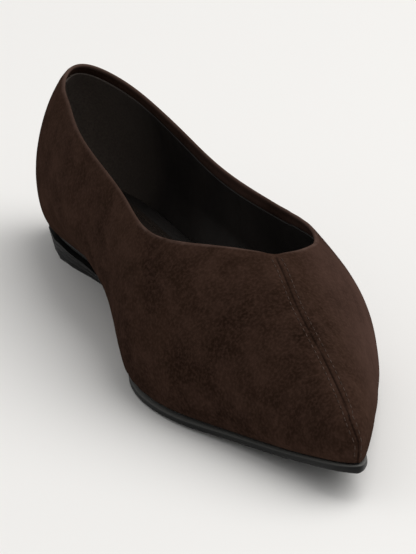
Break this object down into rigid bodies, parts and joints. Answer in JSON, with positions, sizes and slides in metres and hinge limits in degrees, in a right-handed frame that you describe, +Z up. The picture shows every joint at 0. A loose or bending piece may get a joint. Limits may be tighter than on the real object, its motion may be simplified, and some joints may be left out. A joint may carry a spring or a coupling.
{
  "type": "pointed toe flat shoe",
  "caption": "Left foot pointed toe flat: hollow suede upper with a low cut topline and a centre front seam, dark insole, thin rubber sole and a low heel block.",
  "frame": {"origin": "on the floor under the middle of the shoe", "axes": "+Z up, the toe points to -Y and the heel to +Y, and +X is the outer side of the left foot"},
  "size_m": [0.082, 0.262, 0.063],
  "materials": {
    "suede": "dark brown suede with a short nap",
    "insole_leather": "smooth dark brown leather",
    "sole_rubber": "black, satin",
    "heel_rubber": "black, satin, finely ribbed"
  },
  "bodies": {
    "root": {"upper": "suede", "insole": "insole_leather", "outsole": "sole_rubber", "heel_block": "heel_rubber"}
  },
  "joints": []
}
